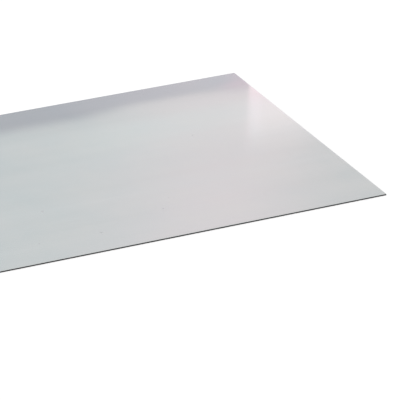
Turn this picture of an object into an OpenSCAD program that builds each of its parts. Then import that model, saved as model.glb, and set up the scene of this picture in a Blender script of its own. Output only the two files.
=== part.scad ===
// Galvannealed steel sheet: one flat blank, cut to size on a guillotine shear.
// All sizes are in millimetres. The origin is at the centre of the underside,
// +X runs along the rolling direction, +Y across it and +Z up.
//
// A sheared edge has three bands, from the top face down: the arris that the
// blade rolled over as it entered, the burnished band that it wiped smooth,
// and the torn band, which leans in under the sheet by about the blade gap.

/* [Sheet] */
// Length along the rolling direction
sheet_length = 609.6; // [200:0.1:3660]
// Width across the rolling direction
sheet_width = 304.8; // [100:0.1:1830]
// Thickness over both zinc-iron coatings
sheet_thickness = 1.31; // [0.8:0.01:3.2]

/* [Sheared edge] */
// Radius of the arris that the blade rolled over
rollover_radius = 0.14; // [0.05:0.01:0.25]
// Height of the burnished band under the rolled arris
burnish_height = 0.42; // [0.1:0.01:0.5]
// Distance that the torn band leans in at the underside
blade_gap = 0.08; // [0.02:0.01:0.2]

/* [Colour] */
// Colour of the coated faces
sheet_colour = "lightgray"; // [lightgray, silver, gainsboro]

/* [Hidden] */
// Sides of a full circle at the rolled arris
arris_facets = 64;
// Top of the torn band, above the underside
torn_top = sheet_thickness - rollover_radius - burnish_height;
// Height at which the rolled arris starts
arris_base = sheet_thickness - rollover_radius;

// Cross-section of a blank of the given width, with a sheared edge on each
// side. It stands on y = 0 and is centred on x = 0.
module sheared_section(width) {
    half = width / 2;
    // Torn band, leaning in to the underside
    polygon([
        [-half + blade_gap, 0],
        [half - blade_gap, 0],
        [half, torn_top],
        [-half, torn_top]
    ]);
    // Burnished band
    translate([-half, torn_top])
        square([width, burnish_height]);
    // Rolled arris on each side, with the flat top face between
    translate([-half + rollover_radius, arris_base])
        square([width - 2 * rollover_radius, rollover_radius]);
    intersection() {
        translate([-half, arris_base])
            square([width, rollover_radius]);
        for (side = [-1, 1])
            translate([side * (half - rollover_radius), arris_base])
                circle(r = rollover_radius, $fn = arris_facets);
    }
}

// The width's section, drawn out along X and centred on the origin
module long_edges() {
    rotate([90, 0, 90])
        translate([0, 0, -sheet_length / 2])
            linear_extrude(height = sheet_length)
                sheared_section(sheet_width);
}

// The length's section, drawn out along Y and centred on the origin
module short_edges() {
    rotate([90, 0, 0])
        translate([0, 0, -sheet_width / 2])
            linear_extrude(height = sheet_width)
                sheared_section(sheet_length);
}

// One solid: the bands of the long and short edges meet in a mitre at each
// corner, as two square cuts of the shear leave them
module sheet() {
    color(sheet_colour)
        intersection() {
            long_edges();
            short_edges();
        }
}

sheet();
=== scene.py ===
"""A blank of galvannealed steel sheet, dressed for a photograph.

The sheet lies flat on a pale floor. +X runs along the rolling direction, +Y across it
and +Z up, in metres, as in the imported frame.
"""

from collections import namedtuple
from math import cos, pi, radians, sin

import bpy
from bpy.props import FloatProperty, FloatVectorProperty, IntProperty, PointerProperty
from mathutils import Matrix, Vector


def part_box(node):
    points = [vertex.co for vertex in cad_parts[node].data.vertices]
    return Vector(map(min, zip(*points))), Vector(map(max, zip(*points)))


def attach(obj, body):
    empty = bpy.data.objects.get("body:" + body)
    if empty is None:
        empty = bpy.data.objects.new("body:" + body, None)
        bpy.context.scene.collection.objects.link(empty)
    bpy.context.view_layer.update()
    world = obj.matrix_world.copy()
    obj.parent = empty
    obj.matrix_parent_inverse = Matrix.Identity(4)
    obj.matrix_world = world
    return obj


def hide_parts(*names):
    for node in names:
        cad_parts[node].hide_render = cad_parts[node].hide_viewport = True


bl_info = {
    "name": "Galvannealed sheet",
    "version": (1, 0, 0),
    "blender": (4, 5, 0),
    "location": "3D View > Sidebar > Sheet",
    "description": "Makes a sheared blank of galvannealed steel sheet, and a stage to show it on",
    "category": "Add Mesh",
}

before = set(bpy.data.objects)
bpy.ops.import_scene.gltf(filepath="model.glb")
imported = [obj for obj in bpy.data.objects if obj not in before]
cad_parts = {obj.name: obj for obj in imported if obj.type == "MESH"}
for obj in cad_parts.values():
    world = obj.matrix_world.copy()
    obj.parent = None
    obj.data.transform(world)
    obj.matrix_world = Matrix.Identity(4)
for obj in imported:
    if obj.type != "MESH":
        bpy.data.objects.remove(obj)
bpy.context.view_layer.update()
SHEET_LOW, SHEET_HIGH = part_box("sheet")
SHEET_SIZE = SHEET_HIGH - SHEET_LOW

MILLIMETRE = 0.001
MICROMETRE = 0.000001
WHITE = (1.0, 1.0, 1.0)

# The bands of the cut edge, as the geometry marks its faces
BAND = "band"
COATED, TORN, BURNISHED = 0.0, 1.0, 2.0
# Slack that tells one whole number from the next
SLACK = 0.25


# Node building

# Blender's noise runs from 0 to 1, and mostly keeps within a quarter of its middle
NOISE_MIDDLE = 0.5
NOISE_GAIN = 4.0


def pick(sockets, key):
    """The socket at a number, or the one in use that has that name."""
    if isinstance(key, int):
        return sockets[key]
    return next(s for s in sockets if s.enabled and s.name == key)


class Wire:
    """The output of a node, on which Python arithmetic adds Math nodes."""

    def __init__(self, bench, socket):
        self.bench = bench
        self.socket = socket

    def __getitem__(self, name):
        """Another output of the same node."""
        return Wire(self.bench, pick(self.socket.node.outputs, name))

    def __add__(self, other):
        return self.bench.math("ADD", self, other)

    def __radd__(self, other):
        return self.bench.math("ADD", other, self)

    def __sub__(self, other):
        return self.bench.math("SUBTRACT", self, other)

    def __rsub__(self, other):
        return self.bench.math("SUBTRACT", other, self)

    def __mul__(self, other):
        return self.bench.math("MULTIPLY", self, other)

    def __rmul__(self, other):
        return self.bench.math("MULTIPLY", other, self)

    def __truediv__(self, other):
        return self.bench.math("DIVIDE", self, other)

    def __rtruediv__(self, other):
        return self.bench.math("DIVIDE", other, self)

    def __abs__(self):
        return self.bench.math("ABSOLUTE", self)


class Bench:
    """A node tree that is being built."""

    def __init__(self, tree):
        self.tree = tree

    def add(self, kind, settings=None, sockets=None):
        """Adds a node, makes its settings, then gives its sockets their values or links."""
        node = self.tree.nodes.new(kind)
        for name, value in (settings or {}).items():
            setattr(node, name, value)
        for key, value in (sockets or {}).items():
            self.feed(pick(node.inputs, key), value)
        shown = [s for s in node.outputs if s.enabled]
        return Wire(self, shown[0]) if shown else None

    def feed(self, socket, value):
        """Gives a socket a value, or links it to a wire or to a list of them."""
        for one in value if isinstance(value, list) else [value]:
            if isinstance(one, Wire):
                self.tree.links.new(one.socket, socket)
            else:
                socket.default_value = one

    def math(self, operation, *values, clamp=False):
        settings = {"operation": operation, "use_clamp": clamp}
        return self.add("ShaderNodeMath", settings, dict(enumerate(values)))

    def vector_math(self, operation, *values):
        return self.add("ShaderNodeVectorMath", {"operation": operation}, dict(enumerate(values)))

    def ease(self, value, start, end, low=0.0, high=1.0):
        """Goes smoothly from low to high as the value goes from start to end."""
        sockets = {
            "Value": value,
            "From Min": start,
            "From Max": end,
            "To Min": low,
            "To Max": high,
        }
        return self.add("ShaderNodeMapRange", {"interpolation_type": "SMOOTHSTEP"}, sockets)

    def mix(self, amount, first, second):
        """A colour between two others."""
        sockets = {"Factor": amount, "A": first, "B": second}
        return self.add("ShaderNodeMix", {"data_type": "RGBA"}, sockets)

    def shade(self, colour, amount):
        """A colour made lighter or darker."""
        sockets = {"Vector": colour, "Scale": amount}
        return self.add("ShaderNodeVectorMath", {"operation": "SCALE"}, sockets)

    def point(self, x, y, z):
        return self.add("ShaderNodeCombineXYZ", None, {"X": x, "Y": y, "Z": z})

    def parts(self, place):
        """The node whose outputs X, Y and Z are the parts of a place."""
        return self.add("ShaderNodeSeparateXYZ", None, {"Vector": place})

    def noise(self, place, scale=1.0, detail=2.0, seed=0.0):
        """Cloudy noise around zero, mostly within 1 of it."""
        sockets = {"Vector": place, "W": seed, "Scale": scale, "Detail": detail}
        cloud = self.add("ShaderNodeTexNoise", {"noise_dimensions": "4D"}, sockets)
        return (cloud - NOISE_MIDDLE) * NOISE_GAIN

    def mix_shaders(self, amount, first, second):
        return self.add("ShaderNodeMixShader", None, {0: amount, 1: first, 2: second})


def new_material(name):
    """A new material, and the bench of its empty tree."""
    material = bpy.data.materials.new(name)
    material.use_nodes = True
    material.node_tree.nodes.clear()
    return material, Bench(material.node_tree)


def opaque(colour):
    """A colour with its alpha, as a colour socket takes it."""
    return (*colour, 1.0)


# Finishes

# What a mark adds to a metal's shade, to its roughness and to its height in metres
Sway = namedtuple("Sway", "shade roughness height")
# A layer of noise: its scale per metre along X, Y and Z, its detail, its seed and what it adds
Layer = namedtuple("Layer", "scale detail seed sway")

COATING_LAYERS = {
    # Fine lines that the work rolls left along the sheet
    "lines": Layer((9.0, 900.0, 900.0), 3.0, 1.0, Sway(0.012, 0.0, 2.2 * MICROMETRE)),
    # Broad soft streaks along the sheet
    "streaks": Layer((1.2, 45.0, 45.0), 2.0, 2.0, Sway(0.018, 0.015, 0.0)),
    # Clouds where a little more or less iron came into the zinc
    "mottle": Layer((22.0, 22.0, 22.0), 3.0, 3.0, Sway(0.016, 0.015, 0.0)),
    # The coating's fine crystals
    "grain": Layer((2600.0, 2600.0, 2600.0), 2.0, 4.0, Sway(0.02, 0.02, 0.6 * MICROMETRE)),
    # Long shallow waves that are left after levelling
    "waves": Layer((6.0, 6.0, 6.0), 0.0, 5.0, Sway(0.0, 0.0, 60.0 * MICROMETRE)),
}
BURNISHED_LAYERS = {
    # Upright score marks from the blade
    "scores": Layer((3500.0, 3500.0, 250.0), 2.0, 6.0, Sway(0.25, 0.0, 3.0 * MICROMETRE)),
    "stains": Layer((160.0, 160.0, 160.0), 2.0, 7.0, Sway(0.15, 0.05, 0.0)),
}
TORN_LAYERS = {
    # Pits where the steel's grains pulled apart
    "pits": Layer((5000.0, 5000.0, 5000.0), 3.0, 8.0, Sway(0.3, 0.0, 12.0 * MICROMETRE)),
    "stains": Layer((220.0, 220.0, 220.0), 2.0, 9.0, Sway(0.2, 0.08, 0.0)),
}

# How far the mottling turns the coating from its middle grey to the cool or the warm one
TINT_MIDDLE, TINT_SWAY = 0.5, 0.6
# Specks of dross: the smallest share of their radius, the share that is full, and what they add
SMALLEST_SPECK = 0.4
SPECK_CORE = 0.35
SPECK_SWAY = Sway(-0.13, 0.12, 12.0 * MICROMETRE)
# Where the larger specks lie on the top face, and their radius
LARGE_SPECKS = (
    (0.0492, -0.1192, 0.0016),
    (0.1168, -0.0976, 0.0012),
    (0.2059, 0.0342, 0.0009),
    (0.2050, 0.1403, 0.0009),
    (0.0202, -0.0590, 0.0014),
    (0.1627, -0.1393, 0.0005),
    (-0.0066, -0.1169, 0.0009),
)
# What the rim adds: painted shade that darkens it a little along the edges, and the roughness of a
# rim that the blade and handling have dulled
RIM_SHADE_AND_DULLING = Sway(-0.02, 0.03, 0.0)


def noise_layers(bench, place, layers):
    """The noise of each layer, by the layer's name."""
    noises = {}
    for name, layer in layers.items():
        stretched = bench.vector_math("MULTIPLY", place, layer.scale)
        noises[name] = bench.noise(stretched, detail=layer.detail, seed=layer.seed)
    return noises


def swayed(start, part, marks):
    """A value with what each mark adds to it."""
    for mark, sway in marks:
        amount = getattr(sway, part)
        if amount:
            start = start + amount * mark
    return start


def finish_metal(bench, colour, roughness, marks):
    """Ends a metal's tree in its shader, with what the marks add."""
    height = swayed(0.0, "height", marks)
    bump = bench.add("ShaderNodeBump", None, {"Strength": 1.0, "Distance": 1.0, "Height": height})
    shader = bench.add("ShaderNodeBsdfPrincipled", None, {
        "Base Color": bench.shade(colour, swayed(1.0, "shade", marks)),
        "Metallic": 1.0,
        "Roughness": swayed(roughness, "roughness", marks),
        "Normal": bump,
    })
    bench.add("ShaderNodeOutputMaterial", None, {"Surface": shader})


def common_specks(bench, place, look):
    """Specks of dross in a few cells of a loose grid."""
    sockets = {"Vector": place, "Scale": look.speck_density}
    cells = bench.add("ShaderNodeTexVoronoi", {"voronoi_dimensions": "2D"}, sockets)
    chance = bench.add("ShaderNodeSeparateColor", None, {"Color": cells["Color"]})
    radius = look.speck_radius * look.speck_density * (SMALLEST_SPECK + chance["Green"])
    chosen = bench.math("GREATER_THAN", chance["Red"], 1.0 - look.speck_share)
    return chosen * bench.ease(cells["Distance"] / radius, 1.0, SPECK_CORE)


def coated_steel(look):
    """The zinc-iron coating: satin grey, with the mill's rolling lines and a fine grain."""
    material, bench = new_material("zinc_iron_coating")
    place = bench.add("ShaderNodeTexCoord")["Object"]
    noises = noise_layers(bench, place, COATING_LAYERS)
    marks = [(noises[name], layer.sway) for name, layer in COATING_LAYERS.items()]

    speck = common_specks(bench, place, look)
    for x, y, radius in LARGE_SPECKS:
        away = bench.vector_math("DISTANCE", place, (x, y, SHEET_HIGH.z))
        speck = bench.math("MAXIMUM", speck, bench.ease(away, radius, SPECK_CORE * radius))
    marks.append((speck, SPECK_SWAY))

    spot = bench.parts(place)
    to_end = SHEET_SIZE.x / 2 - abs(spot["X"])
    to_side = SHEET_SIZE.y / 2 - abs(spot["Y"])
    # Painted shade darkens the rim a little along the edges, and the rim is also rougher
    rim = bench.ease(bench.math("MINIMUM", to_end, to_side), look.rim_width, 0.0)
    marks.append((rim, RIM_SHADE_AND_DULLING))

    cool, warm = opaque(look.coating_cool), opaque(look.coating_warm)
    tint = bench.mix(TINT_MIDDLE + TINT_SWAY * noises["mottle"], cool, warm)
    finish_metal(bench, tint, look.coating_roughness, marks)
    return material


def cut_steel(name, colour, roughness, layers):
    """Bare steel, as one of the bands of the cut edge shows it, in a colour darkened by painted
    shade.
    """
    material, bench = new_material(name)
    place = bench.add("ShaderNodeTexCoord")["Object"]
    noises = noise_layers(bench, place, layers)
    marks = [(noises[name], layer.sway) for name, layer in layers.items()]
    finish_metal(bench, colour, roughness, marks)
    return material


# The blank

BLANK_INPUTS = {
    "Length": "NodeSocketFloat",
    "Width": "NodeSocketFloat",
    "Thickness": "NodeSocketFloat",
    "Rollover radius": "NodeSocketFloat",
    "Burnish height": "NodeSocketFloat",
    "Blade gap": "NodeSocketFloat",
    "Burr height": "NodeSocketFloat",
    "Tear wander": "NodeSocketFloat",
    "Column pitch": "NodeSocketFloat",
    "Seed": "NodeSocketInt",
    "Coating": "NodeSocketMaterial",
    "Burnished steel": "NodeSocketMaterial",
    "Torn steel": "NodeSocketMaterial",
}
# Widths of the flat margins that the edge's mesh has inside the cut, under the sheet and on it
UNDER_MARGIN = 0.38 * MILLIMETRE
TOP_MARGIN = 0.4 * MILLIMETRE
# How far the burr reaches inside the blade gap, and how far in its tip and its root stand, as
# shares of the gap, with how far the noise moves them
BURR_WIDTH = 0.06 * MILLIMETRE
BURR_TIP_IN, BURR_TIP_STRAY = 0.75, 0.2
BURR_ROOT_IN, BURR_ROOT_STRAY = 0.9, 0.1
# Heights of the burr's tip and root, as shares of its own
BURR_TIP_HEIGHT = 0.45
BURR_ROOT_HEIGHT = 2.6
# Heights of the levels on the torn band, as shares of it, and how far noise moves them in
TORN_SHARES = (0.3, 0.55, 0.8)
TORN_STRAY = 0.35
TORN_INSET = 0.008 * MILLIMETRE
# The lip at the tear's line, how far noise moves it, and its height
LIP_INSET = 0.016 * MILLIMETRE
LIP_STRAY = 0.01 * MILLIMETRE
LIP_HEIGHT = 0.03 * MILLIMETRE
# Steps of the turn round the rolled arris
ARRIS_ANGLES = (30.0, 60.0, 90.0)
# Scales per metre of the noises that move the tear's line and roughen the torn band, and how far
# apart in the second one the rows are
WANDER_SCALE = 110.0
RAGGED_SCALE = 900.0
ROW_SEED_STEP = 0.37


def on_outline(bench, column, long_count, short_count):
    """Where a column stands on a unit square's outline, which starts at the front left corner."""
    def travelled(start, count):
        return bench.math("DIVIDE", column - start, count, clamp=True)

    there = travelled(0.0, long_count)
    back = travelled(long_count + short_count, long_count)
    up = travelled(long_count, short_count)
    down = travelled(2.0 * long_count + short_count, short_count)
    return there - back - 0.5, up - down - 0.5


def edge_levels(size, wander, ragged):
    """The cut edge's levels from the underside up: how far in, how high, and the band above."""
    gap, burr, arris = size["Blade gap"], size["Burr height"], size["Rollover radius"]
    arris_base = size["Thickness"] - arris
    tear_line = arris_base - size["Burnish height"] + size["Tear wander"] * wander
    tip_in = gap * (BURR_TIP_IN - BURR_TIP_STRAY * ragged)
    root_in = gap * (BURR_ROOT_IN - BURR_ROOT_STRAY * wander)
    levels = [
        (UNDER_MARGIN, burr, COATED),
        (gap + BURR_WIDTH, burr, TORN),
        (tip_in, BURR_TIP_HEIGHT * burr * (1.0 - ragged), TORN),
        (root_in, burr * (BURR_ROOT_HEIGHT + ragged), TORN),
    ]
    for share in TORN_SHARES:
        lean = gap * (1.0 - share) * (1.0 + TORN_STRAY * ragged)
        levels.append((lean + TORN_INSET, tear_line * share, TORN))
    levels += [
        (LIP_INSET + LIP_STRAY * ragged, tear_line, TORN),
        (0.0, tear_line + LIP_HEIGHT, BURNISHED),
        (0.0, arris_base, COATED),
    ]
    for turn in map(radians, ARRIS_ANGLES):
        levels.append((arris * (1.0 - cos(turn)), arris_base + arris * sin(turn), COATED))
    levels.append((TOP_MARGIN, size["Thickness"], COATED))
    return levels


def choose(bench, index, values):
    """The value at a number in a list."""
    settings = {"data_type": "FLOAT"}
    switch = bench.add("GeometryNodeIndexSwitch", settings, {"Index": index}).socket.node
    while len(switch.index_switch_items) < len(values):
        switch.index_switch_items.new()
    for number, value in enumerate(values):
        bench.feed(pick(switch.inputs, str(number)), value)
    return Wire(bench, switch.outputs[0])


def cut_edge(bench, size, step, columns, outline):
    """The cut edge right round the blank, with its bands marked.

    It starts as a grid of unit squares, a column to each step round the outline and a row to each
    level, and is then bent to its place.
    """
    column = bench.math("ROUND", step["X"] + columns / 2.0)
    corner = outline(column, 0.0, 0.0)
    wander = bench.noise(corner, scale=WANDER_SCALE, seed=size["Seed"])
    row_seed = size["Seed"] + ROW_SEED_STEP * step["Y"]
    ragged = bench.noise(corner, scale=RAGGED_SCALE, detail=1.0, seed=row_seed)
    ragged = bench.math("MAXIMUM", bench.math("MINIMUM", ragged, 1.0), -1.0)
    levels = edge_levels(size, wander, ragged)
    rows = len(levels) - 1
    # With the slack, the middle of a square counts as the level below it
    row = bench.math("FLOOR", step["Y"] + (rows / 2 + SLACK))
    insets, heights, bands = zip(*levels)
    edge = bench.add("GeometryNodeMeshGrid", None, {
        "Size X": columns,
        "Size Y": float(rows),
        "Vertices X": columns + 1.0,
        "Vertices Y": rows + 1,
    })
    edge = bench.add("GeometryNodeStoreNamedAttribute", {"domain": "FACE"}, {
        "Geometry": edge,
        "Name": BAND,
        "Value": choose(bench, row, bands),
    })
    position = outline(column, choose(bench, row, insets), choose(bench, row, heights))
    return bench.add("GeometryNodeSetPosition", None, {"Geometry": edge, "Position": position})


def flat_face(bench, step, columns, outline, inset, height):
    """A flat face inside the cut edge, filled from a loop of the same columns."""
    sockets = {"Count": columns, "Offset": (1.0, 0.0, 0.0)}
    loop = bench.add("GeometryNodeMeshLine", None, sockets)
    position = outline(bench.math("ROUND", step["X"]), inset, 0.0)
    sockets = {"Geometry": loop, "Position": position}
    loop = bench.add("GeometryNodeSetPosition", None, sockets)
    loop = bench.add("GeometryNodeMeshToCurve", None, {"Mesh": loop})
    loop = bench.add("GeometryNodeSetSplineCyclic", None, {"Geometry": loop, "Cyclic": True})
    filled = bench.add("GeometryNodeFillCurve", None, {"Curve": loop})
    sockets = {"Geometry": filled, "Offset": bench.point(0.0, 0.0, height)}
    return bench.add("GeometryNodeSetPosition", None, sockets)


def blank_tree():
    """The node tree that makes the blank: a cut edge right round it, and two flat faces."""
    tree = bpy.data.node_groups.new("Sheared blank", "GeometryNodeTree")
    for name, kind in BLANK_INPUTS.items():
        tree.interface.new_socket(name, in_out="INPUT", socket_type=kind)
    tree.interface.new_socket("Geometry", in_out="OUTPUT", socket_type="NodeSocketGeometry")
    bench = Bench(tree)
    group = tree.nodes.new("NodeGroupInput")
    size = {name: Wire(bench, group.outputs[name]) for name in BLANK_INPUTS}

    long_count = bench.math("ROUND", size["Length"] / size["Column pitch"])
    short_count = bench.math("ROUND", size["Width"] / size["Column pitch"])
    columns = 2.0 * (long_count + short_count)
    step = bench.parts(bench.add("GeometryNodeInputPosition"))

    def outline(column, inset, height):
        """A column's place on the blank's outline, at an inset and a height."""
        x, y = on_outline(bench, column, long_count, short_count)
        length, width = size["Length"] - 2.0 * inset, size["Width"] - 2.0 * inset
        return bench.point(x * length, y * width, height)

    edge = cut_edge(bench, size, step, columns, outline)
    top = flat_face(bench, step, columns, outline, TOP_MARGIN, size["Thickness"])
    under = flat_face(bench, step, columns, outline, UNDER_MARGIN, size["Burr height"])
    under = bench.add("GeometryNodeFlipFaces", None, {"Mesh": under})
    whole = bench.add("GeometryNodeJoinGeometry", None, {"Geometry": [edge, top, under]})
    sockets = {"Geometry": whole, "Distance": MICROMETRE}
    whole = bench.add("GeometryNodeMergeByDistance", None, sockets)
    sockets = {"Geometry": whole, "Shade Smooth": True}
    whole = bench.add("GeometryNodeSetShadeSmooth", None, sockets)
    whole = bench.add("GeometryNodeRealizeInstances", None, {"Geometry": whole})
    sockets = {"Geometry": whole, "Material": size["Coating"]}
    whole = bench.add("GeometryNodeSetMaterial", None, sockets)
    band = bench.add("GeometryNodeInputNamedAttribute", None, {"Name": BAND})
    for mark, steel in ((TORN, "Torn steel"), (BURNISHED, "Burnished steel")):
        here = bench.math("COMPARE", band, mark, SLACK)
        sockets = {"Geometry": whole, "Selection": here, "Material": size[steel]}
        whole = bench.add("GeometryNodeSetMaterial", None, sockets)
    bench.add("NodeGroupOutput", None, {"Geometry": whole})
    return tree


def grow(name, tree, values):
    """A new object with the plain mesh that a node tree makes of named values."""
    piece = bpy.data.objects.new(name, bpy.data.meshes.new(name))
    bpy.context.scene.collection.objects.link(piece)
    modifier = piece.modifiers.new(name, "NODES")
    modifier.node_group = tree
    for item in tree.interface.items_tree:
        if item.in_out == "INPUT":
            modifier[item.identifier] = values[item.name]
    depsgraph = bpy.context.evaluated_depsgraph_get()
    mesh = bpy.data.meshes.new_from_object(piece.evaluated_get(depsgraph))
    piece.modifiers.remove(modifier)
    piece.data = mesh
    mesh.name = name
    return piece


# The stage

# The floor lies this far under the sheet, so that the two never share a plane
FLOOR_DROP = 0.02 * MILLIMETRE
# A soft lamp: its place, the point that it aims at, its width and its height
Lamp = namedtuple("Lamp", "place aim width height")
LAMPS = {
    "key": Lamp((-2.0, -2.2, 2.6), (0.0, 0.0, 0.0), 3.0, 3.0),
    "overhead": Lamp((1.1, 0.3, 3.0), (0.9, 0.3, 0.0), 2.2, 2.6),
}
CLIP_START, CLIP_END = 0.1, 100.0

# The sines at which the surroundings start to dim overhead, at which the tint to the left of the
# glow turns to the one to its right, and at which both tints begin to fade and are gone
DIM_START = 0.4
TURN_START, TURN_END = -0.05, 0.04
FADE_START, FADE_END = 0.15, 0.4

# Painted reflections: what the coating mirrors from just behind the sheet, painted on a card in
# this order as glowing patches, though the card is no lamp. A patch fades over its softness at each
# side of its edges, and covers what is under it in part or fully.
Patch = namedtuple("Patch", "left right foot top soft_x soft_z colour cover")
# How far out an edge lies that is past the card's own, and the softness of a sharp one
FAR = 2.0
SHARP = 0.001
# The painted dark strip of reflection: its height along its middle, and its grey on the left
DARK_REFLECTION_TOP = 0.0172
DARK_REFLECTION_GREY = (0.658, 0.684, 0.729)
# Where the painted bright block of reflection starts
BRIGHT_REFLECTION_LEFT = 0.3238
PAINTED_REFLECTIONS = (
    # A faint painted reflection of a light band, with faint dim ones above its ends
    Patch(0.155, FAR, 0.036, 0.060, 0.060, 0.012, (1.106, 1.286, 1.238), 0.27),
    Patch(-FAR, 0.09, 0.056, 0.078, 0.040, 0.012, (0.707, 0.739, 0.758), 0.14),
    Patch(0.22, 0.33, 0.076, 0.096, 0.030, 0.010, (0.667, 0.763, 0.780), 0.10),
    # A faint painted light patch of reflection beside the bright block
    Patch(0.300, FAR, 0.033, 0.069, 0.012, 0.006, (1.240, 1.170, 1.170), 0.35),
    # The low dark strip of painted reflection: higher at its left, then lighter and rising again to
    # its right end
    Patch(-FAR, 0.175, -FAR, 0.0230, 0.035, 0.005, DARK_REFLECTION_GREY, 1.0),
    Patch(-FAR, FAR, -FAR, DARK_REFLECTION_TOP, SHARP, 0.003, DARK_REFLECTION_GREY, 1.0),
    Patch(0.18, FAR, -FAR, DARK_REFLECTION_TOP, 0.120, 0.003, (0.849, 0.824, 0.879), 1.0),
    Patch(0.275, FAR, -FAR, 0.0200, 0.025, 0.0035, (0.849, 0.834, 0.889), 1.0),
    Patch(0.305, FAR, -FAR, 0.0228, 0.015, 0.004, (0.934, 0.844, 0.919), 1.0),
    # A pinker stretch along the top of the strip's right end
    Patch(0.296, FAR, 0.0130, 0.0192, 0.016, 0.0018, (1.000, 0.866, 0.940), 1.0),
    # The bright block of painted reflection that ends the strip, brightest along its left side and
    # pinker at its foot
    Patch(BRIGHT_REFLECTION_LEFT, FAR, -FAR, 0.074, SHARP, 0.012, (1.316, 1.247, 1.248), 1.0),
    Patch(BRIGHT_REFLECTION_LEFT, 0.335, -FAR, 0.072, SHARP, 0.012, (1.393, 1.306, 1.329), 1.0),
    Patch(BRIGHT_REFLECTION_LEFT, FAR, -FAR, 0.036, SHARP, 0.010, (1.431, 1.176, 1.248), 0.75),
)


def add_quad(name, corners, material):
    """A flat stage piece between corners that are given in the sheet's own frame."""
    mesh = bpy.data.meshes.new(name)
    mesh.from_pydata(corners, [], [tuple(range(len(corners)))])
    mesh.materials.append(material)
    quad = bpy.data.objects.new(name, mesh)
    bpy.context.scene.collection.objects.link(quad)
    return quad


def floor_finish(stage):
    """Pale and plain, lifted to white for the eye and for what mirrors it, with the shadow kept.

    It is clear from below, so that the underside shows.
    """
    material, bench = new_material("pale_floor")
    path = bench.add("ShaderNodeLightPath")
    direct = path["Is Camera Ray"] + path["Is Glossy Ray"]
    shown = bench.math("ADD", direct, path["Is Transmission Ray"], clamp=True)
    matt = bench.add("ShaderNodeBsdfDiffuse", None, {"Color": opaque(stage.floor_colour)})
    lift = bench.add("ShaderNodeEmission", None, {"Strength": shown * stage.floor_lift})
    floor = bench.add("ShaderNodeAddShader", None, {0: matt, 1: lift})
    below = bench.add("ShaderNodeNewGeometry")["Backfacing"]
    clear = bench.add("ShaderNodeBsdfTransparent")
    surface = bench.mix_shaders(below, floor, clear)
    bench.add("ShaderNodeOutputMaterial", None, {"Surface": surface})
    return material


def span(bench, value, start, end, softness):
    """1 between two ends, and 0 past them, with a soft step at each."""
    rise = bench.ease(value, start - softness, start + softness)
    return rise * bench.ease(value, end + softness, end - softness)


def card_finish():
    """The material of the card that the patches are painted on, glowing with the painted
    reflections. Where they end it is clear.
    """
    material, bench = new_material("rear_card")
    spot = bench.parts(bench.add("ShaderNodeTexCoord")["Object"])
    surface = bench.add("ShaderNodeBsdfTransparent")
    for patch in PAINTED_REFLECTIONS:
        across = span(bench, spot["X"], patch.left, patch.right, patch.soft_x)
        up = span(bench, spot["Z"], patch.foot, patch.top, patch.soft_z)
        sockets = {"Color": opaque(patch.colour), "Strength": 1.0}
        paint = bench.add("ShaderNodeEmission", None, sockets)
        surface = bench.mix_shaders(patch.cover * across * up, surface, paint)
    bench.add("ShaderNodeOutputMaterial", None, {"Surface": surface})
    return material


def add_floor(stage):
    reach = stage.floor_reach
    outline = ((-reach, -reach), (reach, -reach), (reach, reach), (-reach, reach))
    add_quad("floor", [(x, y, -FLOOR_DROP) for x, y in outline], floor_finish(stage))


def add_card(stage):
    """The card glows with painted reflections, and is there only for what mirrors it."""
    y = SHEET_HIGH.y + stage.card_gap
    left, right, top = -stage.card_reach, stage.card_reach, stage.card_height
    corners = [(left, y, 0.0), (right, y, 0.0), (right, y, top), (left, y, top)]
    card = add_quad("rear_card", corners, card_finish())
    card.visible_camera = False
    card.visible_diffuse = False
    card.visible_transmission = False
    card.visible_shadow = False


def add_lamps(stage):
    """Soft lamps. Their radiance is what a mirror would show, where 1 is white."""
    for name, lamp in LAMPS.items():
        light = bpy.data.lights.new(name, "AREA")
        light.shape = "RECTANGLE"
        light.size = lamp.width
        light.size_y = lamp.height
        light.energy = pi * lamp.width * lamp.height * stage.lamp_level
        holder = bpy.data.objects.new(name, light)
        bpy.context.scene.collection.objects.link(holder)
        holder.location = lamp.place
        facing = Vector(lamp.aim) - Vector(lamp.place)
        holder.rotation_euler = facing.to_track_quat("-Z", "Y").to_euler()


def add_world(stage):
    """White all round, and dimmer overhead to what mirrors it. On the object it is a soft fill.

    What mirrors it also shows a warm upright glow behind the sheet, in surroundings that are
    cooler to its left than to its right.
    """
    world = bpy.data.worlds.new("studio")
    bpy.context.scene.world = world
    world.use_nodes = True
    world.node_tree.nodes.clear()
    bench = Bench(world.node_tree)
    path = bench.add("ShaderNodeLightPath")
    way = bench.parts(bench.add("ShaderNodeTexCoord")["Generated"])
    seen = bench.math("ADD", path["Is Camera Ray"], path["Is Transmission Ray"], clamp=True)
    mirrored = path["Is Glossy Ray"]
    above = bench.ease(way["Z"], DIM_START, 1.0, stage.mirror_level, stage.overhead_level)
    strength = seen + mirrored * above + (1.0 - seen - mirrored) * stage.fill_level

    right, ahead = cos(stage.glow_azimuth), sin(stage.glow_azimuth)
    aside = way["X"] * right - way["Y"] * ahead
    beyond = bench.math("GREATER_THAN", way["X"] * ahead + way["Y"] * right, 0.0)
    turn = bench.ease(aside, TURN_START, TURN_END)
    sides = bench.mix(turn, opaque(stage.cool_side), opaque(stage.warm_side))
    glow = bench.ease(abs(aside), stage.glow_width, 0.0)
    shown = bench.mix(glow, sides, opaque(stage.glow_colour))
    near = mirrored * beyond * bench.ease(abs(aside), FADE_END, FADE_START)
    colour = bench.mix(near, opaque(WHITE), shown)
    sky = bench.add("ShaderNodeBackground", None, {"Color": colour, "Strength": strength})
    bench.add("ShaderNodeOutputWorld", None, {"Surface": sky})


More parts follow.
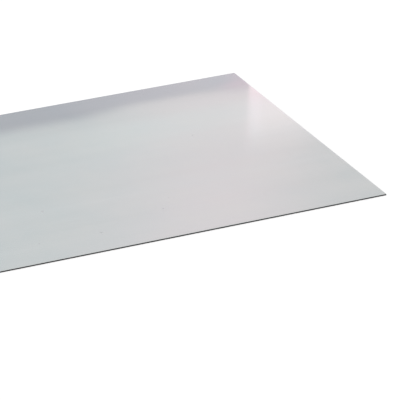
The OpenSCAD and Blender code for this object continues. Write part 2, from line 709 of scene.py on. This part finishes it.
def add_camera(stage):
    """The camera, in the direction of its azimuth from the front and its elevation."""
    camera = bpy.data.objects.new("camera", bpy.data.cameras.new("camera"))
    bpy.context.scene.collection.objects.link(camera)
    bpy.context.scene.camera = camera
    flat = cos(stage.elevation)
    x, y = sin(stage.azimuth) * flat, -cos(stage.azimuth) * flat
    towards = Vector((x, y, sin(stage.elevation)))
    aim = Vector((stage.aim[0], stage.aim[1], SHEET_HIGH.z))
    camera.location = aim + stage.distance * towards
    camera.rotation_mode = "QUATERNION"
    camera.rotation_quaternion = (-towards).to_track_quat("-Z", "Y")
    camera.data.lens = stage.lens
    camera.data.clip_start = CLIP_START
    camera.data.clip_end = CLIP_END


# Settings

# The most that a part of a colour can be set to, where 1 is white
BRIGHTEST = 4.0


def number_setting(name, description, default, **options):
    return FloatProperty(name=name, description=description, default=default, **options)


def factor_setting(name, description, default):
    return number_setting(name, description, default, subtype="FACTOR", min=0.0, max=1.0)


def length_setting(name, description, default):
    return number_setting(name, description, default, unit="LENGTH", precision=5, min=0.0)


def angle_setting(name, description, default):
    return number_setting(name, description, default, subtype="ANGLE")


def colour_setting(name, description, default):
    options = {"subtype": "COLOR", "min": 0.0, "max": BRIGHTEST}
    return FloatVectorProperty(name=name, description=description, default=default, **options)


class SheetSizes(bpy.types.PropertyGroup):
    """Sizes of the blank and of its cut edge"""

    length: length_setting("Length", "Along the rolling direction", SHEET_SIZE.x)
    width: length_setting("Width", "Across the rolling direction", SHEET_SIZE.y)
    thickness: length_setting("Thickness", "Over both coatings", SHEET_SIZE.z)
    rollover_radius: length_setting("Rollover radius", "Of the rolled arris", 0.14 * MILLIMETRE)
    burnish_height: length_setting("Burnish height", "Of the smooth band", 0.42 * MILLIMETRE)
    blade_gap: length_setting("Blade gap", "How far the torn band leans in", 0.08 * MILLIMETRE)
    burr_height: length_setting("Burr height", "Of the burr under the edge", 0.02 * MILLIMETRE)
    tear_wander: length_setting("Tear wander", "How far the tear's line strays", 0.05 * MILLIMETRE)
    column_pitch: length_setting("Column pitch", "Of the mesh along the cut edge", 0.6 * MILLIMETRE)
    seed: IntProperty(name="Seed", description="Of the cut edge's ragged pattern", default=3)


class SheetFinish(bpy.types.PropertyGroup):
    """Colours and textures of the coating and of the bare cut edge"""

    coating_cool: colour_setting("Cool grey", "The coating's cooler patches", (0.580, 0.596, 0.606))
    coating_warm: colour_setting("Warm grey", "The coating's warmer patches", (0.594, 0.596, 0.599))
    coating_roughness: factor_setting("Coating roughness", "0 is a mirror", 0.2)
    # Painted shade: both cut bands are near black, far darker than bare steel, for the dark line
    # along the cut edge; their roughness and marks are the steel's own
    burnished_colour: colour_setting("Burnished steel", "The smooth band", (0.055, 0.056, 0.058))
    burnished_roughness: factor_setting("Burnished roughness", "0 is a mirror", 0.36)
    torn_colour: colour_setting("Torn steel", "The rough band", (0.028, 0.028, 0.030))
    torn_roughness: factor_setting("Torn roughness", "0 is a mirror", 0.55)
    # The rim's width, over which painted shade darkens it and it is rougher
    rim_width: length_setting("Rim width", "Of the dulled rim inside the edges", 1.5 * MILLIMETRE)
    speck_radius: length_setting("Speck radius", "Of a common speck of dross", 0.5 * MILLIMETRE)
    speck_density: number_setting("Speck density", "Cells per metre that may hold a speck", 38.0)
    speck_share: factor_setting("Speck share", "Share of the cells that hold one", 0.12)


class StageSettings(bpy.types.PropertyGroup):
    """Camera, lamps, surroundings, floor and card"""

    azimuth: angle_setting("Azimuth", "Of the camera, from the front", radians(-25.147))
    elevation: angle_setting("Elevation", "Of the camera", radians(24.737))
    distance: length_setting("Distance", "From the camera to what it aims at", 2.7399)
    lens: number_setting("Lens", "Focal length in millimetres", 284.787)
    aim: FloatVectorProperty(
        name="Aim",
        description="Point on the top face",
        size=2,
        unit="LENGTH",
        default=(0.15269, -0.09509),
    )
    floor_colour: colour_setting("Floor", "Colour of the floor", (0.85, 0.85, 0.85))
    floor_lift: number_setting("Floor lift", "Light that lifts the floor to white", 0.34)
    floor_reach: length_setting("Floor reach", "Half of the floor's side", 15.0)
    fill_level: number_setting("Fill", "Light from all round", 0.75)
    mirror_level: number_setting("Surroundings", "What the coating mirrors at eye level", 0.96)
    overhead_level: number_setting("Overhead", "What the coating mirrors overhead", 0.65)
    lamp_level: number_setting("Lamps", "Radiance of the soft lamps", 0.4)
    glow_azimuth: angle_setting("Glow azimuth", "From the back", radians(25.5))
    glow_width: number_setting("Glow width", "Half of it, as a sine", 0.03)
    glow_colour: colour_setting("Glow", "Colour and level of the glow", (1.452, 1.230, 1.268))
    cool_side: colour_setting("Cool side", "Tint to the left of the glow", (0.956, 1.019, 1.019))
    warm_side: colour_setting("Warm side", "Tint to the right of the glow", (0.941, 0.974, 0.966))
    card_gap: length_setting("Card gap", "From the sheet's back edge to the card", 5.0 * MILLIMETRE)
    card_reach: length_setting("Card reach", "Half of the card's width", 0.6)
    card_height: length_setting("Card height", "Of the card", 0.12)


# Operators and panel

def setting_of(name):
    """The setting that a named input of the node tree takes its value from."""
    return name.lower().replace(" ", "_")


class SHEET_OT_blank(bpy.types.Operator):
    """Make the blank: its cut edges, its flat faces and their finishes"""

    bl_idname = "sheet.blank"
    bl_label = "Make the blank"

    def execute(self, context):
        sizes, look = context.scene.sheet_sizes, context.scene.sheet_finish
        values = {
            "Coating": coated_steel(look),
            "Burnished steel": cut_steel(
                "burnished_cut", look.burnished_colour, look.burnished_roughness, BURNISHED_LAYERS
            ),
            "Torn steel": cut_steel(
                "torn_cut", look.torn_colour, look.torn_roughness, TORN_LAYERS
            ),
        }
        for name in BLANK_INPUTS:
            if name not in values:
                values[name] = getattr(sizes, setting_of(name))
        blank = grow("sheared_blank", blank_tree(), values)
        if not blank.data.polygons:
            raise RuntimeError("the node tree made no faces")
        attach(blank, "root")
        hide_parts("sheet")
        return {"FINISHED"}


class SHEET_OT_stage(bpy.types.Operator):
    """Set the stage: floor, card, lamps, surroundings and camera"""

    bl_idname = "sheet.stage"
    bl_label = "Set the stage"

    def execute(self, context):
        stage = context.scene.sheet_stage
        add_floor(stage)
        add_card(stage)
        add_lamps(stage)
        add_world(stage)
        add_camera(stage)
        context.scene.view_settings.view_transform = "Standard"
        return {"FINISHED"}


class SHEET_PT_builder(bpy.types.Panel):
    """Lists the settings and the steps that use them"""

    bl_label = "Galvannealed sheet"
    bl_space_type = "VIEW_3D"
    bl_region_type = "UI"
    bl_category = "Sheet"

    def draw(self, context):
        scene = context.scene
        steps = {
            "sheet.blank": (scene.sheet_sizes, scene.sheet_finish),
            "sheet.stage": (scene.sheet_stage,),
        }
        for operator, groups in steps.items():
            for settings in groups:
                for name in type(settings).__annotations__:
                    self.layout.prop(settings, name)
            self.layout.operator(operator)


SETTINGS = {
    "sheet_sizes": SheetSizes,
    "sheet_finish": SheetFinish,
    "sheet_stage": StageSettings,
}
CLASSES = (*SETTINGS.values(), SHEET_OT_blank, SHEET_OT_stage, SHEET_PT_builder)


def register():
    for made in CLASSES:
        bpy.utils.register_class(made)
    for name, group in SETTINGS.items():
        setattr(bpy.types.Scene, name, PointerProperty(type=group))


def unregister():
    for name in SETTINGS:
        delattr(bpy.types.Scene, name)
    for made in reversed(CLASSES):
        bpy.utils.unregister_class(made)


def main():
    register()
    bpy.ops.sheet.blank()
    bpy.ops.sheet.stage()


if __name__ == "__main__":
    main()
